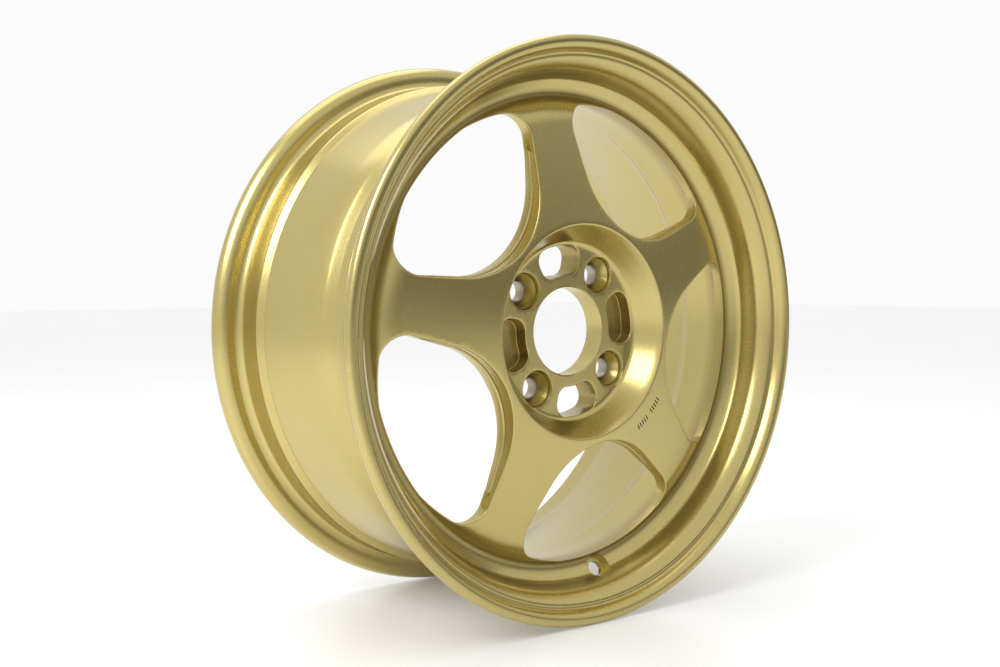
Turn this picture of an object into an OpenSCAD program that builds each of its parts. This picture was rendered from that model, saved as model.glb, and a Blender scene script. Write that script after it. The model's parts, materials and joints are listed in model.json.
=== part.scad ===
// Forged racing wheel rim, 15 x 6.5J, one-piece, five spokes, four lug holes.
// The wheel's axis is Y, its outboard face looks along -Y and +Z is up. The origin is the wheel's centre.
// Every section and outline below is drawn with the wheel lying down: r is the distance from the axis and
// h is the height towards the outboard side, so h = -Y once the wheel is stood up.

/* [Rim] */
// Diameter of the bead seats (a 15 inch rim measures 380.2)
bead_seat_d = 380.2; // [355:0.1:460]
// Distance between the two flanges' inner faces (6.5 inches)
rim_w = 165.1; // [152:0.1:200]
// Height of each flange above its bead seat
flange_h = 17.3; // [15:0.1:19]
// Radius of the rolled flange
flange_r = 9.5; // [8:0.1:11]
// Depth of the drop centre below the bead seats' diameter, as a radius
well_depth = 17.8; // [14:0.1:20]
// Wall of the barrel
barrel_wall = 4; // [3.5:0.1:6]

/* [Hub] */
// Distance from the rim's middle plane out to the mounting face
offset_et = 40; // [30:0.5:45]
// Thickness of the hub between the mounting face and the bowl's floor
hub_t = 20; // [17:0.5:24]
// Diameter of the centre bore
bore_d = 64.1; // [52:0.1:68]
// Diameter of the flat mounting face
pad_d = 144; // [134:1:150]
// Diameter of the bowl's floor
bowl_floor_d = 125; // [120:1:130]
// Diameter of the bowl's rim
bowl_rim_d = 152; // [148:1:156]
// Depth of the bowl below its rim
bowl_depth = 20.5; // [14:0.5:24]

/* [Lug holes] */
// Diameter of the circle through the lug holes
lug_pcd = 100; // [98:0.1:102]
// Diameter of the bore in each steel lug seat
stud_hole_d = 14.2; // [12:0.1:17]
// Outer diameter of each lug seat's sleeve
sleeve_d = 19; // [17.2:0.1:22]
// Outer diameter of each lug seat's head
head_d = 24; // [22.2:0.1:25]
// Diameter of each recess at the bowl's floor
recess_d = 26.8; // [25.4:0.1:28]
// Depth of each cone below the bowl's floor
cone_depth = 9.6; // [8:0.1:11]

/* [Spokes] */
// Slope of the spokes' face, falling from the bowl's rim towards the barrel, in degrees
face_slope = 8.8; // [4:0.1:12]
// Thickness of the spokes beside the hub
spoke_t_hub = 20; // [17:0.5:24]
// Thickness of the spokes where their face starts to roll over
spoke_t_tip = 10.5; // [9:0.5:14]
// Distance from the axis to each window's inner edge
window_in = 82; // [80:0.1:86]
// Radius of each window's hub-side arc
window_hub_r = 62; // [52:0.5:64]
// Radius of each window's two outer corners
window_corner_r = 16.7; // [12:0.1:24]
// Half the greatest width of each window
window_half_w = 71.2; // [60:0.1:73]
// Radius of each window's outer arc
window_top_r = 123; // [110:1:150]
// Step by which the windows' hub side comes in half way through the spokes
window_step = 1.3; // [0.5:0.1:2]

/* [Pockets and valve] */
// Width of each kidney pocket between two lug holes
pocket_w = 22; // [16:0.5:24]
// Angle that each kidney pocket takes up, in degrees
pocket_span = 41; // [30:1:44]
// Radius of the kidney pockets' corners
pocket_corner_r = 9; // [5:0.5:10]
// Depth of the two side pockets, which have a floor; the top and bottom ones go right through
side_pocket_depth = 10; // [4:0.5:14]
// Diameter of the valve hole
valve_d = 11.3; // [9:0.1:14]
// Diameter of the flat round the valve hole
valve_flat_d = 19.5; // [17:0.5:22]
// Wall left at the valve hole
valve_wall = 3.6; // [3:0.1:5]

/* [Pose] */
// Angle by which the wheel is rolled from having a spoke straight up, in degrees
wheel_roll = 9.5; // [-180:0.5:180]

/* [Hidden] */
$fn = 96;
past = 1;               // how far a cutter runs past what it cuts
spoke_count = 5;
lug_count = 4;

gold = [0.60, 0.52, 0.28];
steel = [0.62, 0.60, 0.55];

// Angles, seen from outboard, from +X towards +Z
spoke_a = 90 + wheel_roll;
window_a = spoke_a + 180 / spoke_count;
lug_a = spoke_a + 180 / lug_count;
pocket_a = spoke_a;
valve_a = spoke_a + 180;
mark_a = spoke_a - 2 * 360 / spoke_count;

// Bead seats and flanges
seat_r = bead_seat_d / 2;
seat_h = rim_w / 2;                 // h of a flange's inner face
crest_r = seat_r + flange_h;
crest_h = seat_h + flange_r;
tip_r = 3.5;                        // rounding over a flange's edge
seat_fillet = 6.5;
seat_taper = 5;
seat_w = 20.5;
seat_end_r = seat_r - seat_w * tan(seat_taper);
seat_end_h = seat_h - seat_w;
hump_rise = 1.6;
hump_r = 2.5;                       // radius of the safety hump's rounded top

// Drop centre and barrel, on the tyre side
well_r = seat_r - well_depth;
well_out_h = seat_end_h - 17;
well_in_h = well_out_h - 23;
wall_foot = [well_r + 1.6, well_out_h + 3.6];
wall_top = [seat_end_r - 0.8, seat_end_h - 6.2];
bend_rise = 5.1;
bend_end_h = 10;
cone_end_r = seat_end_r - 2.3;

// Barrel, on the inside
inner_r = well_r - barrel_wall;
inner_bend_h = 20;
inner_bend_end_h = 8;
inner_cone_r = well_r + bend_rise - barrel_wall + 0.4;
inner_end_r = cone_end_r - barrel_wall;
inner_end_h = seat_end_h - 5;
flange_wall = 4.8;
seat_wall = 3.3;

// Hub and disc
pad_r = pad_d / 2;
pad_chamfer = 2;
floor_h = offset_et + hub_t;
floor_r = bowl_floor_d / 2;
floor_fillet = 5;
rim_r = bowl_rim_d / 2;
rim_h = floor_h + bowl_depth;
rim_round = 1.5;
bore_r = bore_d / 2;
bore_chamfer = 1;
bore_lead_in = 4;
roll_start_r = inner_r - 18.4;      // where the spokes' face starts to roll over
roll_r = 30;                        // radius of the rolled shoulder
roll_end_a = 49;                    // slope at the end of the shoulder
roll_start_h = rim_h - (roll_start_r - rim_r) * tan(face_slope);
shoulder = [roll_start_r - roll_r * sin(face_slope), roll_start_h - roll_r * cos(face_slope)];
valley_r = inner_r + 1.3;           // the crevice between the shoulder and the lip
valley_h = shoulder[1] + roll_r * cos(roll_end_a) - 1.5;
back_hub_h = rim_h - spoke_t_hub;
back_tip_h = roll_start_h - spoke_t_tip;
back_foot_h = back_tip_h - 13.5;    // where the disc's back runs into the barrel
back_foot_r = 13;

// Windows
window_out = inner_r - 0.4;
window_step_h = roll_start_h - 1;   // the plane of that step
corner_x = window_half_w - window_corner_r;
corner_y = window_out - window_top_r + sqrt(pow(window_top_r - window_corner_r, 2) - pow(corner_x, 2));
hub_arc_y = window_in + window_hub_r;
flank_in = 0.02;                    // the flanks cross the arcs this far inside the true tangents, for clean corners

// Lug seats
stud_r = stud_hole_d / 2;
sleeve_r = sleeve_d / 2;
head_r = head_d / 2;
recess_r = recess_d / 2;
cone_h = floor_h - cone_depth;      // where the cone meets the bore
cone_top_h = floor_h - 0.6;         // where it meets the recess's short straight wall
cone_rate = (recess_r - stud_r) / (cone_top_h - cone_h);
head_land = 0.15;                   // flat left round the cone on the head's top
head_top_h = cone_h + (head_r - head_land - stud_r) / cone_rate;
head_low_h = cone_h - 3.4;

// Kidney pockets
pocket_in = lug_pcd / 2 + 1.5 - pocket_w / 2;
pocket_out = pocket_in + pocket_w;

// Valve hole, square to the wall between the drop centre and the outboard bead seat
valve_on_wall = 0.66;               // its place up that wall
valve_foot = wall_foot + valve_on_wall * (wall_top - wall_foot);
valve_tilt = atan2(wall_top[1] - wall_foot[1], wall_top[0] - wall_foot[0]);

// Size marks cut beside the hub: two groups of plain strokes on one arc
mark_r = 90;
mark_l = 4.6;
mark_w = 0.9;
mark_depth = 0.5;
mark_step = 1.7;
mark_groups = [-8.9, 2.1];
marks_a_group = 5;

// Points of an arc about a centre, from angle a0 to angle a1
function arc(centre, radius, a0, a1, steps = 8) =
    [for (i = [0:steps]) let (a = a0 + (a1 - a0) * i / steps) centre + radius * [cos(a), sin(a)]];

// A section's points mirrored to the inboard side, and taken in the opposite order
function inboard(points) = [for (i = [len(points) - 1:-1:0]) [points[i][0], -points[i][1]]];

// Tyre side of a flange: safety hump, bead seat, fillet, rolled flange and the rounding over its edge
function flange_tyre_side() = concat(
    arc([seat_end_r + hump_rise - hump_r, seat_end_h - 4], hump_r, -50, 50, 6),
    [[seat_end_r, seat_end_h]],
    arc([seat_r - seat_fillet * tan(seat_taper) + seat_fillet / cos(seat_taper), seat_h - seat_fillet],
        seat_fillet, 180 - seat_taper, 90),
    arc([crest_r - flange_r, crest_h], flange_r, -90, 0, 12),
    arc([crest_r - tip_r, crest_h], tip_r, 15, 90, 6));

// Inboard flange's inner side, from the barrel out to the flange's edge
function inboard_flange_inside() = concat(
    [[inner_end_r, -inner_end_h],
     [inner_end_r + 2.6, -inner_end_h - 5],
     [seat_end_r - seat_wall + 0.6, -seat_end_h - 6]],
    arc([seat_r - seat_wall + flange_wall, -seat_h], flange_wall, 180, 270),
    arc([crest_r - flange_r, -crest_h], flange_r - flange_wall, 90, 0),
    [[crest_r - flange_wall, -crest_h - tip_r + 0.8],
     [crest_r - flange_wall + 0.8, -crest_h - tip_r]]);

// Outboard lip's inner side, from the flange's edge down its steps to the valley round the disc
function lip_inside() = [
    [crest_r - 5.6, crest_h + tip_r],
    [crest_r - 6.6, crest_h + 3.1],
    [crest_r - 8.2, crest_h + 2.0],
    [crest_r - 9.8, crest_h - 0.4],
    [crest_r - 11.0, crest_h - 3.2],
    [crest_r - 11.8, crest_h - 4.3],
    [crest_r - 14.3, crest_h - 4.5],
    [crest_r - 15.4, crest_h - 5.0],
    [crest_r - 18.2, crest_h - 7.8],
    [crest_r - 20.4, crest_h - 10.6],
    [crest_r - 22.0, crest_h - 13.4],
    [crest_r - 22.9, crest_h - 16.4],
    [crest_r - 24.4, crest_h - 24.8],
    [crest_r - 25.2, crest_h - 27.4],
    [crest_r - 26.6, crest_h - 29.6],
    [crest_r - 28.6, crest_h - 31.2],
    [crest_r - 31.4, crest_h - 33.2],
    [crest_r - 33.6, crest_h - 34.4],
    [crest_r - 36.0, crest_h - 34.9]];

// The wheel's whole section, from the mounting face out along the back, round the rim and in along the front
function wheel_section() = concat(
    [[bore_r + bore_lead_in, offset_et],
     [pad_r - pad_chamfer, offset_et],
     [pad_r, offset_et + pad_chamfer],
     [pad_r + 3, back_hub_h - 7]],
    arc([pad_r + 11, back_hub_h - 8], 8, 170, 93, 6),
    [[roll_start_r - 20, back_hub_h + 0.5],
     [roll_start_r, back_tip_h]],
    arc([inner_r - back_foot_r, back_foot_h], back_foot_r, 62, 0),
    arc([inner_r + 6, inner_bend_h], 6, 180, 205, 4),
    [[inner_cone_r, inner_bend_end_h]],
    inboard_flange_inside(),
    inboard(flange_tyre_side()),
    [[cone_end_r, -seat_end_h + 9],
     [well_r + bend_rise, bend_end_h],
     [well_r + bend_rise - 1.4, bend_end_h + 2.4],
     [well_r + 1.2, well_in_h - 3],
     [well_r, well_in_h],
     [well_r, well_out_h],
     wall_foot,
     wall_top],
    flange_tyre_side(),
    lip_inside(),
    [[valley_r, valley_h]],
    arc(shoulder, roll_r, 90 - roll_end_a, 90 - face_slope, 10),
    arc([rim_r + rim_round, rim_h - rim_round], rim_round, 90 - face_slope, 150, 5),
    arc([floor_r - 1 , floor_h + floor_fillet], floor_fillet, -30, -90, 6),
    [[bore_r + bore_chamfer, floor_h],
     [bore_r, floor_h - bore_chamfer],
     [bore_r, offset_et + bore_lead_in]]);

// Stands the lying wheel up: h becomes -Y, and the outlines' second axis becomes Z
module stand_up() {
    rotate([90, 0, 0]) children();
}

// One window's outline, its middle line along +Y of the outline
module window_outline() {
    outer_arc = [0, window_out - window_top_r];
    hub_arc = [0, hub_arc_y];
    corner = [corner_x, corner_y];
    gap = corner - hub_arc;
    flank_a = atan2(gap[1], gap[0]) - acos((window_hub_r - window_corner_r) / norm(gap));
    flank_n = [cos(flank_a), sin(flank_a)];
    corner_far = outer_arc + 1.4 * window_top_r * (corner - outer_arc) / norm(corner - outer_arc);
    side = [hub_arc + (window_hub_r - flank_in) * flank_n, corner + (window_corner_r - flank_in) * flank_n,
            corner, corner_far];
    intersection() {
        translate(outer_arc) circle(r = window_top_r);
        union() {
            translate(hub_arc) circle(r = window_hub_r);
            for (x = [-corner_x, corner_x])
                translate([x, corner_y]) circle(r = window_corner_r);
            polygon(concat([hub_arc], side, [for (i = [3:-1:0]) [-side[i][0], side[i][1]]]));
        }
    }
}

// All the windows: their hub side comes in by a small step on the way to the back
module windows() {
    for (i = [0:spoke_count - 1])
        rotate([0, 0, window_a - 90 + i * 360 / spoke_count]) {
            translate([0, 0, window_step_h])
                linear_extrude(crest_h)
                    window_outline();
            translate([0, 0, back_foot_h - 2 * past])
                linear_extrude(window_step_h - back_foot_h + 3 * past)
                    intersection() {
                        translate([0, window_step]) window_outline();
                        circle(r = window_out);
                    }
        }
}

// One kidney pocket's outline: a band between two radii with rounded corners, about +X
module pocket_outline() {
    half = pocket_span / 2;
    inner = pocket_in + pocket_corner_r;
    outer = pocket_out - pocket_corner_r;
    inner_a = half - asin(pocket_corner_r / inner);
    outer_a = half - asin(pocket_corner_r / outer);
    band(pocket_in, pocket_out, min(inner_a, outer_a));
    band(inner, outer, half);
    for (side = [-1, 1]) {
        rotate([0, 0, side * inner_a]) translate([inner, 0]) circle(r = pocket_corner_r);
        rotate([0, 0, side * outer_a]) translate([outer, 0]) circle(r = pocket_corner_r);
    }
}

// A band between two radii, half_a to each side of +X
module band(in_r, out_r, half_a) {
    reach = 2 * out_r;
    intersection() {
        difference() {
            circle(r = out_r);
            circle(r = in_r);
        }
        polygon([[0, 0], reach * [cos(half_a), -sin(half_a)], [reach, 0], reach * [cos(half_a), sin(half_a)]]);
    }
}

// The pockets between the lug holes: every other one goes right through the hub
module pockets() {
    for (i = [0:lug_count - 1]) {
        low_h = i % 2 == 0 ? offset_et - past : floor_h - side_pocket_depth;
        rotate([0, 0, pocket_a + i * 360 / lug_count])
            translate([0, 0, low_h])
                linear_extrude(floor_h + floor_fillet + past - low_h)
                    pocket_outline();
    }
}

// Section of the hole that one lug seat is pressed into, with the recess above it
function seat_hole_section() = [
    [0, offset_et - past],
    [sleeve_r, offset_et - past],
    [sleeve_r, head_low_h],
    [head_r, head_low_h],
    [head_r, head_top_h],
    [recess_r, cone_top_h],
    [recess_r, rim_h],
    [0, rim_h]];

// Section of one lug seat: a plain bore, then a cone that opens to the head's outer edge
function seat_section() = [
    [stud_r, offset_et],
    [sleeve_r, offset_et],
    [sleeve_r, head_low_h],
    [head_r, head_low_h],
    [head_r, head_top_h],
    [head_r - head_land, head_top_h],
    [stud_r, cone_h]];

// Puts its children at lug hole i
module at_lug(i) {
    rotate([0, 0, lug_a + i * 360 / lug_count])
        translate([lug_pcd / 2, 0, 0])
            children();
}

// The four holes for the lug seats
module seat_holes() {
    for (i = [0:lug_count - 1])
        at_lug(i) rotate_extrude() polygon(seat_hole_section());
}

// The valve hole and the flat round it, square to the barrel's outboard wall
module valve_hole() {
    reach = 5 * valve_wall;
    rotate([0, 0, valve_a])
        translate([valve_foot[0], 0, valve_foot[1]])
            rotate([0, -valve_tilt, 0]) {
                translate([0, 0, valve_wall])
                    cylinder(d = valve_flat_d, h = reach);
                translate([0, 0, -reach])
                    cylinder(d = valve_d, h = 2 * reach);
            }
}

// Plain size marks cut into one spoke's face
module size_marks() {
    mark_h = rim_h - (mark_r - rim_r) * tan(face_slope);
    for (start = mark_groups, i = [0:marks_a_group - 1])
        rotate([0, 0, mark_a + start + i * mark_step])
            translate([mark_r, 0, mark_h])
                rotate([0, face_slope, 0])
                    cube([mark_l, mark_w, 2 * mark_depth], center = true);
}

module wheel_forging() {
    color(gold)
        stand_up()
            difference() {
                rotate_extrude() polygon(wheel_section());
                windows();
                pockets();
                seat_holes();
                valve_hole();
                size_marks();
            }
}

module lug_seat_insert(i) {
    color(steel)
        stand_up()
            at_lug(i) rotate_extrude() polygon(seat_section());
}

wheel_forging();
lug_seat_insert(0);  // lug_seat_insert_1
lug_seat_insert(1);  // lug_seat_insert_2
lug_seat_insert(2);  // lug_seat_insert_3
lug_seat_insert(3);  // lug_seat_insert_4
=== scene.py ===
"""Forged racing wheel rim: the wheel's finished surfaces, paint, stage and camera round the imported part.

The wheel's axis is Y and its outboard face looks along -Y. Sections are drawn as (r, h) in millimetres:
r is the distance from the axis and h = -Y is the height towards the outboard side. Plan outlines are drawn
as (x, z), as the wheel is seen from outboard.
"""

import json
import math

import bpy
import numpy as np
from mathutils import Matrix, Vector
from mathutils.geometry import delaunay_2d_cdt


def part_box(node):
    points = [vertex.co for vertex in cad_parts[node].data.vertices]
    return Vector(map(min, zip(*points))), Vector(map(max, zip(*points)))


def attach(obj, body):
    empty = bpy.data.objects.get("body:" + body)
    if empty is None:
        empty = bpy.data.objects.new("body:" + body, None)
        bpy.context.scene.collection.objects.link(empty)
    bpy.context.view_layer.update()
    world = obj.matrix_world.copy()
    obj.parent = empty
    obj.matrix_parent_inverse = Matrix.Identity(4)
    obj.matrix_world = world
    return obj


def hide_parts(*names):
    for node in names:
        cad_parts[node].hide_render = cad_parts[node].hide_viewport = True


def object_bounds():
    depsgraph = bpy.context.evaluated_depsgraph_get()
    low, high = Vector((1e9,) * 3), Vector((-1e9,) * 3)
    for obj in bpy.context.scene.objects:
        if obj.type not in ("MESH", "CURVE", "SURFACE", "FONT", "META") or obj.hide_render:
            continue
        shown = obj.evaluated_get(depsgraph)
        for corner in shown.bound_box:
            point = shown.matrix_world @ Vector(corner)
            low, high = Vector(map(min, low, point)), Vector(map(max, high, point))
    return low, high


bl_info = {
    "name": "Forged Wheel Rim",
    "version": (1, 0, 0),
    "blender": (4, 5, 0),
    "location": "View3D > Sidebar > Wheel",
    "description": "Builds the finished surfaces of a one-piece forged wheel rim and a plain studio",
    "category": "Add Mesh",
}

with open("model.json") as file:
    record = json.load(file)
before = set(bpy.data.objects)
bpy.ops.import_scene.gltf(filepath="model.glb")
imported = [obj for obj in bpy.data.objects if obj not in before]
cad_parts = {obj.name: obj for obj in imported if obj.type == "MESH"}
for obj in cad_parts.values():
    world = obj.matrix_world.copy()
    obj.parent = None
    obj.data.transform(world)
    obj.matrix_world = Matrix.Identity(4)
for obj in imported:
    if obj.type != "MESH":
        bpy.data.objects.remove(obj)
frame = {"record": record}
CAD_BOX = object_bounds()
MM = 0.001

# ---------------------------------------------------------------- sizes read from the frame, in millimetres
MOUNTS = {mount["name"]: mount for mount in frame["record"]["mounts"]}
FORGING_LOW, FORGING_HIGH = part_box("wheel_forging")
CREST_R = FORGING_HIGH.x / MM
EDGE_H = -FORGING_LOW.y / MM
BORE_R = MOUNTS["centre_bore"]["dims"]["r_mm"]
LUG_CIRCLE_R = MOUNTS["lug_holes"]["dims"]["pcd_mm"] / 2
LUG_COUNT = MOUNTS["lug_holes"]["dims"]["count"]
STUD_R = MOUNTS["lug_holes"]["dims"]["hole_r_mm"]
VALVE_R = MOUNTS["valve_hole"]["dims"]["r_mm"]
VALVE_WALL = MOUNTS["valve_hole"]["dims"]["length_mm"]
PAD_H = -MOUNTS["mounting_face"]["pos_m"][1] / MM
LUG_A = math.degrees(math.atan2(MOUNTS["mounting_face"]["pos_m"][2], MOUNTS["mounting_face"]["pos_m"][0]))

SPOKE_COUNT = 5
SPOKE_A = LUG_A - 180 / LUG_COUNT
WINDOW_A = SPOKE_A + 180 / SPOKE_COUNT
POCKET_A = SPOKE_A
MARK_A = SPOKE_A - 2 * 360 / SPOKE_COUNT

# ---------------------------------------------------------------- sizes of the wheel's sections
# These repeat the CAD source's sizes, because the frame gives only the mounts and the pieces' boxes.
FLANGE_RISE, FLANGE_R, TIP_R = 17.3, 9.5, 3.5
SEAT_R = CREST_R - FLANGE_RISE
CREST_H = EDGE_H - TIP_R
SEAT_H = CREST_H - FLANGE_R
SEAT_FILLET, SEAT_TAPER, SEAT_W = 6.5, math.radians(5), 20.5
SEAT_END_R = SEAT_R - SEAT_W * math.tan(SEAT_TAPER)
SEAT_END_H = SEAT_H - SEAT_W
HUMP_RISE, HUMP_R = 1.6, 2.5
WELL_DEPTH, WELL_W = 17.8, 23
WELL_R = SEAT_R - WELL_DEPTH
WELL_OUT_H = SEAT_END_H - 17
WELL_IN_H = WELL_OUT_H - WELL_W
BEND_RISE, BEND_END_H = 5.1, 10
CONE_END_R = SEAT_END_R - 2.3
BARREL_WALL = 4
INNER_R = WELL_R - BARREL_WALL
INNER_CONE_R = WELL_R + BEND_RISE - BARREL_WALL + 0.4
INNER_END_R, INNER_END_H = CONE_END_R - BARREL_WALL, SEAT_END_H - 5
INNER_BEND_H, INNER_BEND_END_H = 20, 8
FLANGE_WALL, SEAT_WALL = 4.8, 3.3

PAD_R, PAD_CHAMFER, HUB_T, BOWL_DEPTH = 72, 2, 20, 20.5
FLOOR_H = PAD_H + HUB_T
FLOOR_R, FLOOR_FILLET = 62.5, 5
RIM_R, RIM_ROUND = 76, 1.5
RIM_H = FLOOR_H + BOWL_DEPTH
BORE_CHAMFER, BORE_LEAD_IN = 1, 4
FACE_SLOPE, ROLL_R, ROLL_END_A = 8.8, 30, 49
ROLL_START_R = INNER_R - 18.4
ROLL_START_H = RIM_H - (ROLL_START_R - RIM_R) * math.tan(math.radians(FACE_SLOPE))
SHOULDER = (
    ROLL_START_R - ROLL_R * math.sin(math.radians(FACE_SLOPE)),
    ROLL_START_H - ROLL_R * math.cos(math.radians(FACE_SLOPE)),
)
VALLEY_R = INNER_R + 1.3
VALLEY_H = SHOULDER[1] + ROLL_R * math.cos(math.radians(ROLL_END_A)) - 1.5
SPOKE_T_HUB, SPOKE_T_TIP = 20, 10.5
BACK_HUB_H = RIM_H - SPOKE_T_HUB
BACK_TIP_H = ROLL_START_H - SPOKE_T_TIP
BACK_FOOT_H, BACK_FOOT_R = BACK_TIP_H - 13.5, 13

# Windows
WINDOW_OUT, WINDOW_IN, WINDOW_TOP_R = INNER_R - 0.4, 82, 123
WINDOW_HUB_R, WINDOW_CORNER_R, WINDOW_HALF_W = 62, 16.7, 71.2
WINDOW_STEP, WINDOW_STEP_H = 1.3, ROLL_START_H - 1

# Lug seats, pockets, marks and the valve hole's flat
SLEEVE_R, HEAD_R, HEAD_LAND, RECESS_R, CONE_DEPTH = 9.5, 12, 0.15, 13.4, 9.6
CONE_H = FLOOR_H - CONE_DEPTH
CONE_RATE = (RECESS_R - STUD_R) / (CONE_DEPTH - 0.6)
HEAD_TOP_H = CONE_H + (HEAD_R - HEAD_LAND - STUD_R) / CONE_RATE
HEAD_LOW_H = CONE_H - 3.4
POCKET_IN, POCKET_OUT = LUG_CIRCLE_R - 9.5, LUG_CIRCLE_R + 12.5
POCKET_CORNER_R, POCKET_HALF = 9, 20.5
SIDE_POCKET_DEPTH, SIDE_POCKET_FILLET = 10, 1
MARK_R, MARK_L, MARK_W, MARK_DEPTH, MARK_STEP = 90, 4.6, 0.9, 0.5, 1.7
MARK_GROUPS, MARKS_A_GROUP = (-8.9, 2.1), 5
VALVE_FLAT_R = 9.75

# The studio: places in metres, with the camera's view as a direction
FLOOR_SIZE, FLOOR_GLOW = 16, 0.16
TOP_SOFTBOX = {"place": (0.1, 0.5, 1.7), "size": 1.6}
SIDE_SOFTBOX = {"place": (-1.3, -0.2, 1.0), "size": 0.9}
ROOM_LIT_FROM = (-0.5, 0.86, 1.5)
ROOM_RAMP = {"From Min": -0.9, "From Max": 0.2, "To Min": 0.14, "To Max": 0.92}
BACKDROP = 0.97
CAMERA_PLACE, CAMERA_LOOK = (-0.6044, -0.7474, 0.0408), (0.6179, 0.7849, -0.0465)
SENSOR_W, CLIP_START = 36, 0.01

# Small roundings that no property sets, and the number of points on each outline
BACK_POCKET_ROUND, MARK_ROUND = 0.6, 0.12
WINDOW_POINTS, POCKET_POINTS, LUG_POINTS, MARK_POINTS = 220, 110, 72, 20
WINDOW_FADE_R, WINDOW_FADE_W = 120, 30
MERGE_DISTANCE = 2e-6
QUARTER = np.radians(np.linspace(0, 90, 6))


# ---------------------------------------------------------------- sections
def arc(centre, radius, start, end, steps):
    """Points of an arc about a centre, from one angle to another, in degrees."""
    angles = np.radians(np.linspace(start, end, steps + 1))
    return [(centre[0] + radius * math.cos(a), centre[1] + radius * math.sin(a)) for a in angles]


def inboard(points):
    """A section's points mirrored to the inboard side, and taken in the opposite order."""
    return [(r, -h) for r, h in reversed(points)]


def softened(points, rounds=2):
    """The same line with its corners cut, so that it runs smoothly from point to point."""
    for _ in range(rounds):
        line = [points[0]]
        for (r0, h0), (r1, h1) in zip(points, points[1:]):
            line.append((0.75 * r0 + 0.25 * r1, 0.75 * h0 + 0.25 * h1))
            line.append((0.25 * r0 + 0.75 * r1, 0.25 * h0 + 0.75 * h1))
        points = line + [points[-1]]
    return points


def flange_tyre_side():
    """Safety hump, bead seat, fillet, rolled flange and the rounding over its edge."""
    fillet_r = SEAT_R - SEAT_FILLET * math.tan(SEAT_TAPER) + SEAT_FILLET / math.cos(SEAT_TAPER)
    return [
        *arc((SEAT_END_R + HUMP_RISE - HUMP_R, SEAT_END_H - 4), HUMP_R, -50, 50, 6),
        (SEAT_END_R, SEAT_END_H),
        *arc((fillet_r, SEAT_H - SEAT_FILLET), SEAT_FILLET, 180 - math.degrees(SEAT_TAPER), 90, 7),
        *arc((CREST_R - FLANGE_R, CREST_H), FLANGE_R, -90, 0, 10),
        *arc((CREST_R - TIP_R, CREST_H), TIP_R, 15, 90, 6),
    ]


def lip_inside():
    """Outboard lip's inner side, from the flange's edge down its steps to the valley round the disc."""
    steps = [
        (5.6, TIP_R), (6.6, 3.1), (8.2, 2.0), (9.8, -0.4), (11.0, -3.2), (11.8, -4.3), (14.3, -4.5),
        (15.4, -5.0), (18.2, -7.8), (20.4, -10.6), (22.0, -13.4), (22.9, -16.4), (24.4, -24.8),
        (25.2, -27.4), (26.6, -29.6), (28.6, -31.2), (31.4, -33.2), (33.6, -34.4), (36.0, -34.9),
    ]
    return [(CREST_R - dr, CREST_H + dh) for dr, dh in steps]


def inboard_flange_inside():
    """Inboard flange's inner side, from the barrel out to the flange's edge."""
    return [
        (INNER_END_R, -INNER_END_H),
        (INNER_END_R + 2.6, -INNER_END_H - 5),
        (SEAT_END_R - SEAT_WALL + 0.6, -SEAT_END_H - 6),
        *arc((SEAT_R - SEAT_WALL + FLANGE_WALL, -SEAT_H), FLANGE_WALL, 180, 270, 8),
        *arc((CREST_R - FLANGE_R, -CREST_H), FLANGE_R - FLANGE_WALL, 90, 0, 8),
        (CREST_R - FLANGE_WALL, -CREST_H - TIP_R + 0.8),
        (CREST_R - FLANGE_WALL + 0.8, -CREST_H - TIP_R),
    ]


def rim_section():
    """From the valley up the lip, over the outboard flange, along the tyre side and back up the barrel."""
    tyre_side = flange_tyre_side()
    well_out = [(SEAT_END_R - 0.8, SEAT_END_H - 6.2), (WELL_R + 1.6, WELL_OUT_H + 3.6), (WELL_R, WELL_OUT_H)]
    well_in = [
        (WELL_R, WELL_IN_H), (WELL_R + 1.2, WELL_IN_H - 3), (WELL_R + BEND_RISE - 1.4, BEND_END_H + 2.4),
        (WELL_R + BEND_RISE, BEND_END_H), (CONE_END_R, -SEAT_END_H + 9),
    ]
    bend = arc((INNER_R + 6, INNER_BEND_H), 6, 180, 205, 5)
    barrel = [(INNER_CONE_R + 0.4, INNER_BEND_END_H - 5), (INNER_CONE_R, INNER_BEND_END_H), *reversed(bend)]
    return [
        *softened([(VALLEY_R, VALLEY_H), *reversed(lip_inside())]),
        *reversed(tyre_side),
        *softened(well_out + well_in, 1),
        *reversed(inboard(tyre_side)),
        *reversed(inboard_flange_inside()),
        *softened(barrel, 1),
        (INNER_R, BACK_FOOT_H),
    ]


def front_section():
    """From the centre bore's chamfer over the bowl, the spokes' face and the shoulder to the valley."""
    rim_centre = (RIM_R + RIM_ROUND, RIM_H - RIM_ROUND)
    return [
        (BORE_R + BORE_CHAMFER, FLOOR_H),
        *reversed(arc((FLOOR_R - 1, FLOOR_H + FLOOR_FILLET), FLOOR_FILLET, -30, -90, 8)),
        *reversed(arc(rim_centre, RIM_ROUND, 90 - FACE_SLOPE, 150, 6)),
        *reversed(arc(SHOULDER, ROLL_R, 90 - ROLL_END_A, 90 - FACE_SLOPE, 18)),
        (VALLEY_R, VALLEY_H),
    ]


def back_section():
    """From the centre bore's lead-in over the mounting face and the spokes' back to the barrel."""
    return [
        (BORE_R + BORE_LEAD_IN, PAD_H),
        (PAD_R - PAD_CHAMFER, PAD_H),
        (PAD_R, PAD_H + PAD_CHAMFER),
        (PAD_R + 3, BACK_HUB_H - 7),
        *arc((PAD_R + 11, BACK_HUB_H - 8), 8, 170, 93, 8),
        (ROLL_START_R - 20, BACK_HUB_H + 0.5),
        (ROLL_START_R, BACK_TIP_H),
        *arc((INNER_R - BACK_FOOT_R, BACK_FOOT_H), BACK_FOOT_R, 62, 0, 12),
    ]


def height(section, x, z):
    """Height of a section's surface at plan points."""
    r, h = np.array(section).T
    return np.interp(np.hypot(x, z), r, h)


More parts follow.
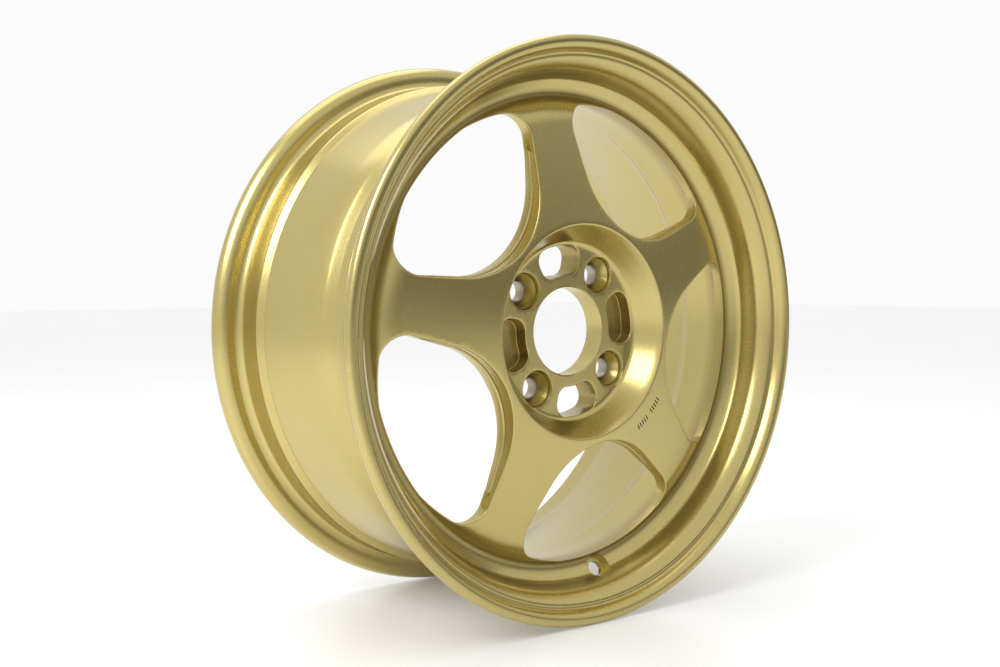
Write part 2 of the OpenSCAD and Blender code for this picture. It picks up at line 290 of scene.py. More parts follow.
# ---------------------------------------------------------------- plan outlines
def turned(points, degrees, centre=(0, 0)):
    """Plan points turned about the wheel's axis, after a shift."""
    a = math.radians(degrees)
    x, z = (np.array(points, float) + centre).T
    return np.stack([x * math.cos(a) - z * math.sin(a), x * math.sin(a) + z * math.cos(a)], 1)


def even(points, count):
    """The same closed outline, running anticlockwise, with evenly spaced points."""
    points = np.array(points, float)
    closed = np.vstack([points, points[:1]])
    along = np.concatenate([[0], np.cumsum(np.hypot(*np.diff(closed, axis=0).T))])
    at = np.linspace(0, along[-1], count, endpoint=False)
    return np.stack([np.interp(at, along, closed[:, i]) for i in (0, 1)], 1)


def outward(outline):
    """Unit normals of an anticlockwise outline."""
    tangent = np.roll(outline, -1, 0) - np.roll(outline, 1, 0)
    normal = np.stack([tangent[:, 1], -tangent[:, 0]], 1)
    return normal / np.hypot(*normal.T)[:, None]


def window_outline():
    """One window's outline, its middle line along +z, as its front edge runs."""
    corner_x = WINDOW_HALF_W - WINDOW_CORNER_R
    outer_z = WINDOW_OUT - WINDOW_TOP_R
    corner_z = outer_z + math.sqrt((WINDOW_TOP_R - WINDOW_CORNER_R) ** 2 - corner_x**2)
    hub_z = WINDOW_IN + WINDOW_HUB_R
    gap = math.hypot(corner_x, corner_z - hub_z)
    flank = math.degrees(
        math.atan2(corner_z - hub_z, corner_x) - math.acos((WINDOW_HUB_R - WINDOW_CORNER_R) / gap)
    )
    top = math.degrees(math.atan2(corner_z - outer_z, corner_x))
    right = [
        *arc((0, hub_z), WINDOW_HUB_R, -90, flank, 90),
        *arc((corner_x, corner_z), WINDOW_CORNER_R, flank, top, 60),
        *arc((0, outer_z), WINDOW_TOP_R, top, 90, 60),
    ]
    return right[:-1] + [(-x, z) for x, z in reversed(right[1:])]


def pocket_outline():
    """One kidney pocket's outline about the +x direction."""
    low, high = POCKET_IN + POCKET_CORNER_R, POCKET_OUT - POCKET_CORNER_R
    low_a = POCKET_HALF - math.degrees(math.asin(POCKET_CORNER_R / low))
    high_a = POCKET_HALF - math.degrees(math.asin(POCKET_CORNER_R / high))

    def corner(radius, a, start, end):
        centre = (radius * math.cos(math.radians(a)), radius * math.sin(math.radians(a)))
        return arc(centre, POCKET_CORNER_R, start, end, 16)

    return [
        *arc((0, 0), POCKET_OUT, -high_a, high_a, 24),
        *corner(high, high_a, high_a, POCKET_HALF + 90),
        *corner(low, low_a, POCKET_HALF + 90, low_a + 180),
        *arc((0, 0), POCKET_IN, low_a, -low_a, 24),
        *corner(low, -low_a, 180 - low_a, 270 - POCKET_HALF),
        *corner(high, -high_a, 270 - POCKET_HALF, 360 - high_a),
    ]


# ---------------------------------------------------------------- mesh parts
class Skin:
    """Collects the forging's surface as points and faces, in millimetres."""

    def __init__(self):
        self.points, self.faces, self.slots, self.count = [], [], [], 0

    def add(self, x, z, h, faces, slot=0):
        """Points with the faces between them, numbered from the first of these points."""
        self.points.append(np.stack([x, -np.asarray(h, float) + 0 * x, z], 1))
        self.faces += [tuple(int(i) + self.count for i in face) for face in faces]
        self.slots += [slot] * len(faces)
        self.count += len(x)

    def strip(self, rings, slot=0):
        """Closed rings of (x, z, h), each joined to the next by four-sided faces."""
        count = len(rings[0][0])
        faces = []
        for level in range(len(rings) - 1):
            low, high = level * count, (level + 1) * count
            for i in range(count):
                after = (i + 1) % count
                faces.append((low + i, low + after, high + after, high + i))
        x, z, h = (np.concatenate([np.broadcast_to(ring[k], count) for ring in rings]) for k in range(3))
        self.add(x, z, h, faces, slot)

    def revolve(self, section, steps):
        """A section turned about the wheel's axis."""
        a = np.arange(steps) * 2 * math.pi / steps
        self.strip([(r * np.cos(a), r * np.sin(a), np.full(steps, h)) for r, h in section])

    def drape(self, section, inner_steps, outer_steps, holes):
        """The section's surface between its first and last radius, with triangles, round the given holes."""
        first, last = section[0][0], section[-1][0]
        loops = [circle_points(first, inner_steps), circle_points(last, outer_steps), *holes]
        fill = clear_of(filling(section), holes)
        fill = fill[(np.hypot(*fill.T) > first + 1) & (np.hypot(*fill.T) < last - 0.35)]
        points = [Vector(p) for loop in loops for p in loop] + [Vector(p) for p in fill]
        edges, start = [], 0
        for loop in loops:
            edges += [(start + i, start + (i + 1) % len(loop)) for i in range(len(loop))]
            start += len(loop)
        found, _, faces, *_ = delaunay_2d_cdt(points, edges, [], 0, 1e-5)
        found = np.array([tuple(p) for p in found])
        faces = [face for face in faces if len(face) == 3]
        middles = found[np.array(faces)].mean(1)
        r = np.hypot(*middles.T)
        keep = (r > first * math.cos(math.pi / inner_steps) - 1e-3) & (r < last)
        for hole in holes:
            centre = hole.mean(0)
            reach = np.hypot(*(hole - centre).T).max()
            near = np.flatnonzero(keep & (np.hypot(*(middles - centre).T) < reach))
            keep[near[inside(hole, middles[near])]] = False
        faces = [face for face, kept in zip(faces, keep) if kept]
        self.add(found[:, 0], found[:, 1], height(section, *found.T), faces)


def circle_points(radius, steps, centre=(0, 0)):
    """Evenly spaced plan points on a circle, anticlockwise from +x."""
    a = np.arange(steps) * 2 * math.pi / steps
    return np.stack([centre[0] + radius * np.cos(a), centre[1] + radius * np.sin(a)], 1)


def inside(outline, points):
    """Which plan points lie inside an outline."""
    x, z = points.T
    odd = np.zeros(len(points), bool)
    for (x0, z0), (x1, z1) in zip(outline, np.roll(outline, -1, 0)):
        if z0 != z1:
            odd ^= ((z0 > z) != (z1 > z)) & (x < (x1 - x0) * (z - z0) / (z1 - z0) + x0)
    return odd


def filling(section, widest=3.0):
    """Plan points on rings that are close together where the section curves."""
    radii = np.array([r for r, _ in section])
    rings = []
    for low, high in zip(radii, radii[1:]):
        parts = max(1, math.ceil((high - low) / widest))
        rings += [low + (high - low) * i / parts for i in range(1, parts + 1)]
    points = []
    for k, r in enumerate(rings[:-1]):
        gap = min(r - (rings[k - 1] if k else radii[0]), rings[k + 1] - r)
        spacing = min(widest, max(1.1, 1.5 * gap))
        ring = circle_points(r, math.ceil(2 * math.pi * r / spacing))
        points.append(turned(ring, k * 37 % 11))
    return np.vstack(points)


def clear_of(points, outlines, factor=0.55):
    """The points that lie outside every outline and not too close to it."""
    keep = np.ones(len(points), bool)
    for outline in outlines:
        spacing = np.hypot(*(outline[1] - outline[0]))
        middle = outline.mean(0)
        reach = np.hypot(*(outline - middle).T).max() + spacing
        near = np.flatnonzero(np.hypot(*(points - middle).T) < reach)
        near_points = points[near]
        distance = np.full(len(near), 1e9)
        for p in outline:
            distance = np.minimum(distance, np.hypot(*(near_points - p).T))
        keep[near[(distance < factor * spacing) | inside(outline, near_points)]] = False
    return points[keep]


def rounding(outline, section, radius, side):
    """Rings of a rounded edge between a wall and a draped surface, the wall first. side is 1 at the front."""
    normal = outward(outline)
    radius = np.broadcast_to(radius, len(outline))
    rings = []
    for a in QUARTER:
        x, z = (outline + normal * (radius * (1 - math.cos(a)))[:, None]).T
        rings.append((x, z, height(section, x, z) - side * radius * (1 - math.sin(a))))
    return rings


def through_hole(skin, front, back, front_outline, back_outline, front_round, back_round, middle=None):
    """A hole from front to back with rounded edges. Returns the outlines left in the two surfaces.

    middle makes the rings between the two edges, where the wall isn't straight.
    """
    top = rounding(front_outline, front, front_round, 1)
    low = rounding(back_outline, back, back_round, -1)
    between = middle(top[0], low[0]) if middle else []
    skin.strip([*reversed(top), *between, *low])
    return np.stack(top[-1][:2], 1), np.stack(low[-1][:2], 1)


def window(skin, front, back, degrees, edge_round):
    """One window. Its hub side comes in by a small step half way through, fading out along the flanks."""
    plain = even(window_outline(), WINDOW_POINTS)
    r = np.hypot(*plain.T)
    fade = np.clip((r - WINDOW_FADE_R) / WINDOW_FADE_W, 0, 1)
    fade = (fade * fade * (3 - 2 * fade))[:, None]
    shifted = plain + (0, WINDOW_STEP)
    far = np.maximum(np.hypot(*shifted.T) / WINDOW_OUT, 1)[:, None]
    shifted = shifted / far
    front_edge = turned(plain * (1 - fade) + shifted * fade, degrees - 90)
    back_edge = turned(shifted, degrees - 90)

    def step(top, low):
        level = np.minimum(WINDOW_STEP_H, (top[2] + low[2]) / 2)
        return [(*front_edge.T, level + 0.45), (*back_edge.T, level - 0.35)]

    back_round = np.clip(0.4 * (INNER_R - np.hypot(*back_edge.T)), 0.1, 0.8)
    return through_hole(skin, front, back, front_edge, back_edge, edge_round, back_round, step)


def pocket(skin, front, back, degrees, edge_round):
    """One kidney pocket that goes right through the hub."""
    outline = turned(even(pocket_outline(), POCKET_POINTS), degrees)
    return through_hole(skin, front, back, outline, outline, edge_round, BACK_POCKET_ROUND)


def side_pocket(skin, front, degrees, edge_round):
    """One kidney pocket with a floor that curves up into its walls. Returns the outline left in the front."""
    outline = turned(even(pocket_outline(), POCKET_POINTS), degrees)
    top = rounding(outline, front, edge_round, 1)
    normal = outward(outline)
    low = []
    for a in QUARTER:
        x, z = (outline - normal * SIDE_POCKET_FILLET * (1 - math.cos(a))).T
        h = FLOOR_H - SIDE_POCKET_DEPTH + SIDE_POCKET_FILLET * (1 - math.sin(a))
        low.append((x, z, np.full(len(x), h)))
    skin.strip([*reversed(top), *low])
    skin.add(*low[-1], [tuple(range(len(outline)))])
    return np.stack(top[-1][:2], 1)


def lug_hole(skin, front, degrees, edge_round):
    """One recess with the stepped hole that its steel seat is pressed into."""
    a = math.radians(degrees)
    centre = (LUG_CIRCLE_R * math.cos(a), LUG_CIRCLE_R * math.sin(a))
    top = rounding(circle_points(RECESS_R, LUG_POINTS, centre), front, edge_round, 1)
    cone_line = [(RECESS_R - 0.2, FLOOR_H - edge_round - 0.35), (HEAD_R, HEAD_TOP_H)]
    hole_line = [(HEAD_R, HEAD_LOW_H), (SLEEVE_R, HEAD_LOW_H), (SLEEVE_R, PAD_H)]
    rings = [
        (*circle_points(r, LUG_POINTS, centre).T, np.full(LUG_POINTS, h)) for r, h in cone_line + hole_line
    ]
    skin.strip([*reversed(top), *rings])
    return np.stack(top[-1][:2], 1), circle_points(SLEEVE_R, LUG_POINTS, centre)


def size_mark(skin, front, degrees):
    """One plain stroke cut into a spoke's face."""
    half_l, half_w = MARK_L / 2, MARK_W / 2
    box = [(-half_l, -half_w), (half_l, -half_w), (half_l, half_w), (-half_l, half_w)]
    outline = turned(even(box, MARK_POINTS), degrees, (MARK_R, 0))
    top = rounding(outline, front, MARK_ROUND, 1)
    x, z = outline.T
    floor = (x, z, height(front, x, z) - MARK_DEPTH)
    skin.strip(top[::-1])
    # Slot 1 paints shade on the stroke's walls and floor.
    skin.strip([top[0], floor], 1)
    skin.add(x, z, floor[2], [tuple(range(len(x)))], 1)
    return np.stack(top[-1][:2], 1)


def mesh_object(name, skin, materials):
    """The skin as a closed mesh in metres, with doubled points merged and its faces turned outwards."""
    mesh = bpy.data.meshes.new(name)
    mesh.from_pydata((np.vstack(skin.points) * MM).tolist(), [], skin.faces)
    mesh.polygons.foreach_set("material_index", skin.slots)
    piece = bpy.data.objects.new(name, mesh)
    bpy.context.scene.collection.objects.link(piece)
    for material in materials:
        mesh.materials.append(material)
    select_only(piece)
    bpy.ops.object.mode_set(mode="EDIT")
    bpy.ops.mesh.select_all(action="SELECT")
    bpy.ops.mesh.remove_doubles(threshold=MERGE_DISTANCE)
    bpy.ops.mesh.normals_make_consistent(inside=False)
    bpy.ops.object.mode_set(mode="OBJECT")
    return piece


def select_only(piece):
    """Makes a piece the only selected object, and the active one."""
    bpy.ops.object.select_all(action="DESELECT")
    bpy.context.view_layer.objects.active = piece
    piece.select_set(True)


def cut_cylinder(piece, radius, start, end, vertices=64):
    """Cuts a cylinder between two points, in millimetres, out of a piece."""
    start, end = Vector(start) * MM, Vector(end) * MM
    axis = end - start
    bpy.ops.object.select_all(action="DESELECT")
    bpy.ops.mesh.primitive_cylinder_add(
        vertices=vertices,
        radius=radius * MM,
        depth=axis.length,
        location=(start + end) / 2,
        rotation=axis.to_track_quat("Z", "Y").to_euler(),
    )
    cutter = bpy.context.object
    select_only(piece)
    modifier = piece.modifiers.new("cut", "BOOLEAN")
    modifier.operation, modifier.solver, modifier.object = "DIFFERENCE", "EXACT", cutter
    bpy.ops.object.modifier_apply(modifier=modifier.name)
    bpy.data.objects.remove(cutter)


def cut_valve_hole(piece):
    """The valve hole and the flat round it, square to the outboard wall of the rim's well."""
    place = Vector(MOUNTS["valve_hole"]["pos_m"]) / MM
    lean = Vector(MOUNTS["valve_hole"]["axis"]).normalized()
    if lean.y > 0:
        lean.negate()
    foot = place - lean * VALVE_WALL / 2
    reach = 5 * VALVE_WALL
    cut_cylinder(piece, VALVE_FLAT_R, foot + lean * VALVE_WALL, foot + lean * reach, 96)
    cut_cylinder(piece, VALVE_R, foot - lean * reach, foot + lean * reach)


def spin_piece(name, section, degrees, steps):
    """A closed section spun about one lug hole's axis into a ring."""
    a = math.radians(degrees)
    centre = Vector((LUG_CIRCLE_R * math.cos(a), 0, LUG_CIRCLE_R * math.sin(a))) * MM
    points = [centre + Vector((r, -h, 0)) * MM for r, h in section]
    mesh = bpy.data.meshes.new(name)
    mesh.from_pydata(points, [(i, (i + 1) % len(points)) for i in range(len(points))], [])
    piece = bpy.data.objects.new(name, mesh)
    bpy.context.scene.collection.objects.link(piece)
    select_only(piece)
    bpy.ops.object.mode_set(mode="EDIT")
    bpy.ops.mesh.select_all(action="SELECT")
    bpy.ops.mesh.spin(steps=steps, angle=2 * math.pi, center=centre, axis=(0, 1, 0))
    bpy.ops.mesh.select_all(action="SELECT")
    bpy.ops.mesh.remove_doubles(threshold=MERGE_DISTANCE)
    bpy.ops.mesh.normals_make_consistent(inside=False)
    bpy.ops.object.mode_set(mode="OBJECT")
    bpy.ops.object.shade_smooth_by_angle(angle=math.radians(30))
    return piece


def seat_section(edge_round):
    """One lug seat: sleeve, head, and the cone that a nut sits on, with its edges broken."""
    return [
        (STUD_R + edge_round, PAD_H),
        (SLEEVE_R, PAD_H),
        (SLEEVE_R, HEAD_LOW_H),
        (HEAD_R, HEAD_LOW_H),
        (HEAD_R, HEAD_TOP_H),
        (HEAD_R - HEAD_LAND, HEAD_TOP_H),
        (STUD_R + edge_round, CONE_H + edge_round / CONE_RATE),
        (STUD_R + 0.25 * edge_round, CONE_H - 0.1 * edge_round),
        (STUD_R, CONE_H - edge_round),
        (STUD_R, PAD_H + edge_round),
    ]


# ---------------------------------------------------------------- materials
class Value:
    """A shader value. Arithmetic on it adds the Math nodes."""

    def __init__(self, finish, socket):
        self.finish, self.socket = finish, socket

    def math(self, operation, *values, clamp=False):
        sockets = {i: value for i, value in enumerate(values)}
        return self.finish.node("ShaderNodeMath", {"operation": operation, "use_clamp": clamp}, sockets)

    def __add__(self, other):
        return self.math("ADD", self, other)

    def __sub__(self, other):
        return self.math("SUBTRACT", self, other)

    def __rsub__(self, other):
        return self.math("SUBTRACT", other, self)

    def __mul__(self, other):
        return self.math("MULTIPLY", self, other)

    def __truediv__(self, other):
        return self.math("DIVIDE", self, other)

    def __pow__(self, other):
        return self.math("POWER", self, other)

    def __abs__(self):
        return self.math("ABSOLUTE", self)

    __radd__, __rmul__ = __add__, __mul__

    def between(self, low, high):
        """0 at low, 1 at high and a straight ramp between them. low may be the higher one."""
        return self.math("DIVIDE", self - low, high - low, clamp=True)


class Finish:
    """One node material, with one method that adds any node to it."""

    def __init__(self, name):
        self.material = bpy.data.materials.new(name)
        self.material.use_nodes = True
        self.tree = self.material.node_tree
        self.shader = self.tree.nodes["Principled BSDF"]

    def node(self, kind, settings=None, sockets=None, output=0):
        """A new node: its settings are set first, then the values or links of its sockets."""
        made = self.tree.nodes.new(kind)
        for key, value in (settings or {}).items():
            setattr(made, key, value)
        self.fill(made, sockets or {})
        return Value(self, made.outputs[output])

    def fill(self, node, sockets):
        for key, value in sockets.items():
            if isinstance(value, Value):
                self.tree.links.new(value.socket, node.inputs[key])
            else:
                node.inputs[key].default_value = value

    def place(self):
        """The Object coordinates as one vector and as three values."""
        vector = self.node("ShaderNodeTexCoord", output="Object")
        return vector, [self.node("ShaderNodeSeparateXYZ", None, {0: vector}, axis) for axis in "XYZ"]

    def noise(self, vector, scale, detail=2.0, roughness=0.5):
        sockets = {"Vector": vector, "Scale": scale, "Detail": detail, "Roughness": roughness}
        return self.node("ShaderNodeTexNoise", None, sockets)

    def blend(self, share, first, second):
        """A colour between two colours."""
        settings = {"data_type": "RGBA"}
        return self.node("ShaderNodeMix", settings, {0: share, 6: first, 7: second}, 2)

    def bump(self, height, strength, distance):
        """A Bump node on the given height, with its distance in metres."""
        sockets = {"Height": height, "Strength": strength, "Distance": distance}
        return self.node("ShaderNodeBump", None, sockets)

    def from_lug_axis(self, x, z):
        """Distance from the nearest lug hole's axis, in millimetres, with the four holes folded onto one."""
        a = math.radians(LUG_A - 45)
        across = abs(x * math.cos(a) + z * math.sin(a)) / MM - LUG_CIRCLE_R * math.sqrt(0.5)
        along = abs(z * math.cos(a) - x * math.sin(a)) / MM - LUG_CIRCLE_R * math.sqrt(0.5)
        return (across * across + along * along) ** 0.5


def gold_paint(colours):
    """Metallic gold lacquer: fine flake, faint orange peel, rubs where it is touched, and painted shade in
    the hub's pockets and recesses and in the crevice round the disc.
    """
    finish = Finish("gold_paint")
    place, (x, y, z) = finish.place()
    r = (x * x + z * z) ** 0.5 / MM
    h = y / -MM
    cloud = finish.noise(place, 14.0, 3.0)
    flake = finish.noise(place, 2600.0, 0.0)
    peel = finish.noise(place, 420.0, 1.0)
    # Painted shade: this mask darkens the lacquer in the crevice round the disc, between the lip and the
    # spokes' shoulder. The same mask also makes it rougher there.
    crevice_shade = r.between(VALLEY_R - 7, VALLEY_R) * r.between(VALLEY_R + 6, VALLEY_R + 1) * h.between(40, 50)
    scuffs = finish.noise(place, 160.0, 4.0, 0.7).between(0.56, 0.66)
    flange_rub = r.between(CREST_R - 1.6, CREST_R - 0.2) * scuffs
    on_pad = h.between(PAD_H + 0.6, PAD_H + 0.1) * r.between(PAD_R, PAD_R - 4)
    pad_rub = on_pad * h.between(PAD_H - 3, PAD_H - 1)
    rubs = {0: flange_rub * 0.5, 1: pad_rub * (0.35 + 0.5 * scuffs)}
    rub = finish.node("ShaderNodeMath", {"operation": "MAXIMUM"}, rubs)
    gold = finish.blend((cloud - 0.5) * 0.4 + (flake - 0.5) * 0.4 + 0.4, colours.gold, colours.gold_pale)
    # Painted shade: the walls and floors below the hub's face, in the pockets and the lug recesses, are
    # darkened.
    below_face = h.between(FLOOR_H - 0.4, FLOOR_H - 2.5) * h.between(PAD_H + 0.2, PAD_H + 1)
    hub_recess_shade = below_face * r.between(RIM_R, RIM_R - 2) * r.between(BORE_R + 1.5, BORE_R + 3)
    # Painted shade: both masks blend the lacquer towards the dark shade gold.
    gold = finish.blend(crevice_shade * 0.55 + hub_recess_shade * 0.6, gold, colours.gold_shade_and_specks)
    gold = finish.blend(rub, gold, colours.rubbed)
    finish.fill(
        finish.shader,
        {
            "Base Color": gold,
            "Metallic": 0.93,
            "Roughness": 0.26 + (cloud - 0.5) * 0.04 + (flake - 0.5) * 0.06 + rub * 0.18 + crevice_shade * 0.15,
            "Coat Weight": 0.25 - 0.2 * rub,
            "Coat Roughness": 0.12,
            "Normal": finish.bump(peel + flake * 0.2, 0.05, 0.0002),
        },
    )
    return finish.material


def lug_steel(colours):
    """The lug seats: bare turned steel in the stud hole and on the sleeve, paint on the cone."""
    finish = Finish("seat_steel")
    place, (x, y, z) = finish.place()
    radius = finish.from_lug_axis(x, z)
    h = y / -MM
    paint = radius.between(STUD_R + 0.5, STUD_R + 0.9) * h.between(CONE_H - 1.5, CONE_H - 0.5)
    rings = finish.node("ShaderNodeCombineXYZ", None, {0: radius * 0.02, 1: h * 1.6, 2: radius * 1.2})
    turning = finish.noise(rings, 4.0, 2.0)
    cloud = finish.noise(place, 90.0, 3.0)
    steel = finish.blend((turning - 0.5) * 1.2 + (cloud - 0.5) * 0.8 + 0.5, colours.steel, colours.steel_pale)
    finish.fill(
        finish.shader,
        {
            "Base Color": finish.blend(paint, steel, colours.gold),
            "Metallic": 1.0 - 0.07 * paint,
            "Roughness": 0.36 + (turning - 0.5) * 0.2 - 0.08 * paint,
            "Coat Weight": 0.25 * paint,
            "Coat Roughness": 0.12,
            "Normal": finish.bump(turning * (1 - paint), 0.25, 0.0001),
        },
    )
    return finish.material


def mark_fill(colours):
    """Painted shade in the size marks: a dull dark colour on the strokes' walls and floors, with specks of
    the lacquer in it.
    """
    finish = Finish("mark_fill")
    place, _ = finish.place()
    specks = finish.noise(place, 900.0, 2.0)
    finish.fill(
        finish.shader,
        {
            "Base Color": finish.blend(specks.between(0.55, 0.75) * 0.5, colours.mark, colours.gold_shade_and_specks),
            "Metallic": 0.2,
            "Roughness": 0.55 + (specks - 0.5) * 0.2,
        },
    )
    return finish.material


def floor_finish(colours):
    """A plain pale studio floor with a faint sheen."""
    finish = Finish("studio_floor")
    place, _ = finish.place()
    cloud = finish.noise(place, 3.0, 2.0)
    finish.fill(
        finish.shader,
        {
            "Base Color": finish.blend(cloud, colours.floor, [0.98 * c for c in colours.floor[:3]] + [1.0]),
            "Roughness": 0.3 + (cloud - 0.5) * 0.05,
            "Emission Color": colours.floor,
            "Emission Strength": FLOOR_GLOW,
        },
    )
    return finish.material


def colour(name, description, default):
    """A colour property, from its three parts."""
    return bpy.props.FloatVectorProperty(
        name=name, description=description, default=(*default, 1.0), size=4, subtype="COLOR", min=0, max=1
    )


def length(name, description, default):
    """A length property, from a default in millimetres."""
    return bpy.props.FloatProperty(
        name=name, description=description, default=default * MM, unit="LENGTH", precision=5, min=0
    )


# ---------------------------------------------------------------- properties
class WHEEL_PG_sizes(bpy.types.PropertyGroup):
    """Sizes of the wheel's finish that a user would change"""

    window_round: length("Window edge", "Radius of the rounded front edge of the windows", 1.2)
    pocket_round: length("Pocket edge", "Radius of the rounded edge of the kidney pockets", 0.9)
    recess_round: length("Recess edge", "Radius of the rounded edge of the lug recesses", 0.5)
    seat_round: length("Seat edge", "Width of the broken edge of the lug seats", 0.35)
    rim_steps: bpy.props.IntProperty(name="Rim steps", description="Faces round the rim", default=240, min=64)
    bore_steps: bpy.props.IntProperty(
        name="Bore steps", description="Faces round the centre bore", default=128, min=32
    )


class WHEEL_PG_colours(bpy.types.PropertyGroup):
    """Colours of the wheel's finishes and of the floor"""

    gold: colour("Gold", "Main colour of the gold lacquer", (0.47, 0.385, 0.130))
    gold_pale: colour("Pale gold", "Brighter flake in the lacquer", (0.58, 0.485, 0.200))
    # Painted shade colour for the crevice round the disc and for the hub's pockets and recesses. It is also
    # the colour of the lacquer specks in the size marks.
    gold_shade_and_specks: colour("Deep gold", "Lacquer in the crevice and the pockets", (0.22, 0.15, 0.04))
    rubbed: colour("Rubbed gold", "Lacquer where it is rubbed", (0.56, 0.48, 0.30))
    steel: colour("Steel", "Turned steel of the lug seats", (0.34, 0.30, 0.24))
    steel_pale: colour("Pale steel", "Brighter rings of the turned steel", (0.50, 0.46, 0.38))
    # Painted shade: the dark colour put in the cuts of the size marks.
    mark: colour("Mark fill", "Fill of the size marks", (0.05, 0.04, 0.02))
    floor: colour("Floor", "Studio floor", (0.80, 0.80, 0.80))


class WHEEL_PG_studio(bpy.types.PropertyGroup):
    """The studio's light and lens"""

    lens: bpy.props.FloatProperty(
        name="Lens", description="Focal length on a 36 mm sensor", default=45.34, unit="CAMERA"
    )
    top_power: bpy.props.FloatProperty(
        name="Top light", description="Power of the overhead softbox", default=10, unit="POWER"
    )
    side_power: bpy.props.FloatProperty(
        name="Side light", description="Power of the side softbox", default=18, unit="POWER"
    )
    ambient: bpy.props.FloatProperty(
        name="Ambient", description="Strength of the room's light", default=1.0, min=0
    )


# ---------------------------------------------------------------- operators
class WHEEL_OT_forging(bpy.types.Operator):
    """Builds the forging's painted surface in place of its CAD solid"""

    bl_idname = "wheel.forging"
    bl_label = "Wheel forging"

    def execute(self, context):
        sizes = context.scene.wheel_sizes
        skin = Skin()
        front, back = front_section(), back_section()
        holes = []
        front_only = []
        for i in range(SPOKE_COUNT):
            holes.append(window(skin, front, back, WINDOW_A + i * 360 / SPOKE_COUNT, sizes.window_round / MM))
        for i in range(LUG_COUNT):
            pocket_a = POCKET_A + i * 360 / LUG_COUNT
            if i % 2 == 0:
                holes.append(pocket(skin, front, back, pocket_a, sizes.pocket_round / MM))
            else:
                front_only.append(side_pocket(skin, front, pocket_a, sizes.pocket_round / MM))
            holes.append(lug_hole(skin, front, LUG_A + i * 360 / LUG_COUNT, sizes.recess_round / MM))
        for start in MARK_GROUPS:
            for i in range(MARKS_A_GROUP):
                front_only.append(size_mark(skin, front, MARK_A + start + i * MARK_STEP))
        skin.drape(front, sizes.bore_steps, sizes.rim_steps, [hole[0] for hole in holes] + front_only)
        skin.drape(back, sizes.bore_steps, sizes.rim_steps, [hole[1] for hole in holes])
        skin.revolve(rim_section(), sizes.rim_steps)
        bore = [
            (BORE_R + BORE_CHAMFER, FLOOR_H),
            (BORE_R, FLOOR_H - BORE_CHAMFER),
            (BORE_R, PAD_H + BORE_LEAD_IN),
            (BORE_R + BORE_LEAD_IN, PAD_H),
        ]
        skin.revolve(bore, sizes.bore_steps)
        colours = context.scene.wheel_colours
        piece = mesh_object("wheel_forging_skin", skin, [gold_paint(colours), mark_fill(colours)])
        cut_valve_hole(piece)
        bpy.ops.object.shade_smooth_by_angle(angle=math.radians(32))
        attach(piece, "root")
        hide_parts("wheel_forging")
        return {"FINISHED"}


class WHEEL_OT_seats(bpy.types.Operator):
    """Builds the four steel lug seats in place of their CAD solids"""

    bl_idname = "wheel.seats"
    bl_label = "Lug seats"

    def execute(self, context):
        steel = lug_steel(context.scene.wheel_colours)
        section = seat_section(context.scene.wheel_sizes.seat_round / MM)
        for i in range(LUG_COUNT):
            piece = spin_piece(f"lug_seat_skin_{i + 1}", section, LUG_A + i * 360 / LUG_COUNT, LUG_POINTS)
            piece.data.materials.append(steel)
            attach(piece, "root")
            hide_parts(f"lug_seat_insert_{i + 1}")
        return {"FINISHED"}


class WHEEL_OT_stage(bpy.types.Operator):
    """Adds the floor, the soft lights, the room and the camera"""

    bl_idname = "wheel.stage"
    bl_label = "Studio"

    def execute(self, context):
        studio = context.scene.wheel_studio
        bpy.ops.object.select_all(action="DESELECT")
        bpy.ops.mesh.primitive_plane_add(size=FLOOR_SIZE, location=(0, 0, CAD_BOX[0][2]))
        floor = context.object
        floor.name = "studio_floor"
        bpy.ops.object.transform_apply(location=True, rotation=True, scale=True)
        floor.data.materials.append(floor_finish(context.scene.wheel_colours))
        softbox("top_softbox", studio.top_power, **TOP_SOFTBOX)
        softbox("side_softbox", studio.side_power, **SIDE_SOFTBOX)
        room(context.scene, studio.ambient)
        bpy.ops.object.camera_add(location=CAMERA_PLACE)
        camera = context.object
        camera.rotation_euler = Vector(CAMERA_LOOK).to_track_quat("-Z", "Y").to_euler()
        camera.data.lens = studio.lens
        camera.data.sensor_width = SENSOR_W
        camera.data.clip_start = CLIP_START
        context.scene.camera = camera
        context.scene.view_settings.view_transform = "Standard"
        return {"FINISHED"}


def softbox(name, power, place, size):
    """A square area light that faces the wheel's centre."""
    bpy.ops.object.light_add(type="AREA", location=place)
    light = bpy.context.object
    light.name = name
    light.data.size, light.data.energy = size, power
    light.rotation_euler = (-Vector(place)).to_track_quat("-Z", "Y").to_euler()


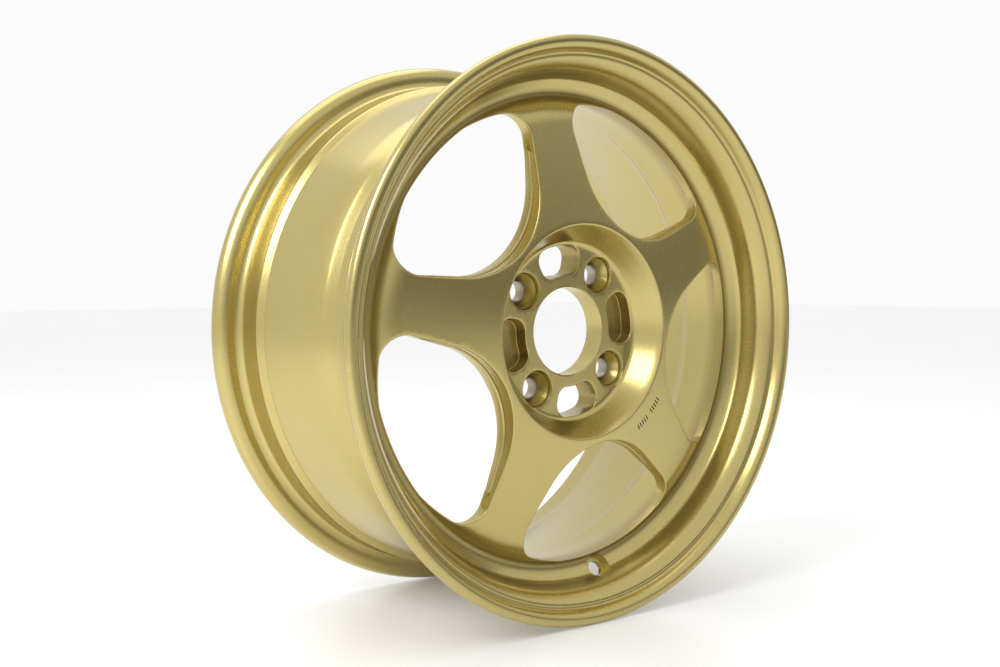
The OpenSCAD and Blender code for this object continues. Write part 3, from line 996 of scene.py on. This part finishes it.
def room(scene, strength):
    """Plain white to look at. It lights the wheel from all round, but less from the studio's open side."""
    world = bpy.data.worlds.new("studio_room")
    scene.world = world
    world.use_nodes = True
    nodes, links = world.node_tree.nodes, world.node_tree.links
    direction = nodes.new("ShaderNodeTexCoord")
    away = nodes.new("ShaderNodeVectorMath")
    away.operation = "DOT_PRODUCT"
    links.new(direction.outputs["Generated"], away.inputs[0])
    away.inputs[1].default_value = ROOM_LIT_FROM
    ramp = nodes.new("ShaderNodeMapRange")
    ramp.interpolation_type = "SMOOTHSTEP"
    for key, value in ROOM_RAMP.items():
        ramp.inputs[key].default_value = value
    links.new(away.outputs["Value"], ramp.inputs["Value"])
    scaled = nodes.new("ShaderNodeMath")
    scaled.operation = "MULTIPLY"
    links.new(ramp.outputs["Result"], scaled.inputs[0])
    scaled.inputs[1].default_value = strength
    seen = nodes.new("ShaderNodeLightPath")
    plain = nodes.new("ShaderNodeMix")
    links.new(seen.outputs["Is Camera Ray"], plain.inputs[0])
    links.new(scaled.outputs[0], plain.inputs[2])
    plain.inputs[3].default_value = BACKDROP
    background = nodes["Background"]
    background.inputs["Color"].default_value = (1, 1, 1, 1)
    links.new(plain.outputs[0], background.inputs["Strength"])


class WHEEL_PT_panel(bpy.types.Panel):
    """The wheel's sizes, colours and pieces"""

    bl_label = "Forged wheel rim"
    bl_space_type = "VIEW_3D"
    bl_region_type = "UI"
    bl_category = "Wheel"

    def draw(self, context):
        scene = context.scene
        for group in (scene.wheel_sizes, scene.wheel_colours, scene.wheel_studio):
            box = self.layout.box()
            for name in group.bl_rna.properties.keys():
                if name not in ("rna_type", "name"):
                    box.prop(group, name)
        for operator in (WHEEL_OT_forging, WHEEL_OT_seats, WHEEL_OT_stage):
            self.layout.operator(operator.bl_idname)


CLASSES = (
    WHEEL_PG_sizes,
    WHEEL_PG_colours,
    WHEEL_PG_studio,
    WHEEL_OT_forging,
    WHEEL_OT_seats,
    WHEEL_OT_stage,
    WHEEL_PT_panel,
)


def register():
    for cls in CLASSES:
        bpy.utils.register_class(cls)
    bpy.types.Scene.wheel_sizes = bpy.props.PointerProperty(type=WHEEL_PG_sizes)
    bpy.types.Scene.wheel_colours = bpy.props.PointerProperty(type=WHEEL_PG_colours)
    bpy.types.Scene.wheel_studio = bpy.props.PointerProperty(type=WHEEL_PG_studio)


def unregister():
    del bpy.types.Scene.wheel_studio
    del bpy.types.Scene.wheel_colours
    del bpy.types.Scene.wheel_sizes
    for cls in reversed(CLASSES):
        bpy.utils.unregister_class(cls)


def main():
    register()
    bpy.ops.wheel.forging()
    bpy.ops.wheel.seats()
    bpy.ops.wheel.stage()


if __name__ == "__main__":
    main()
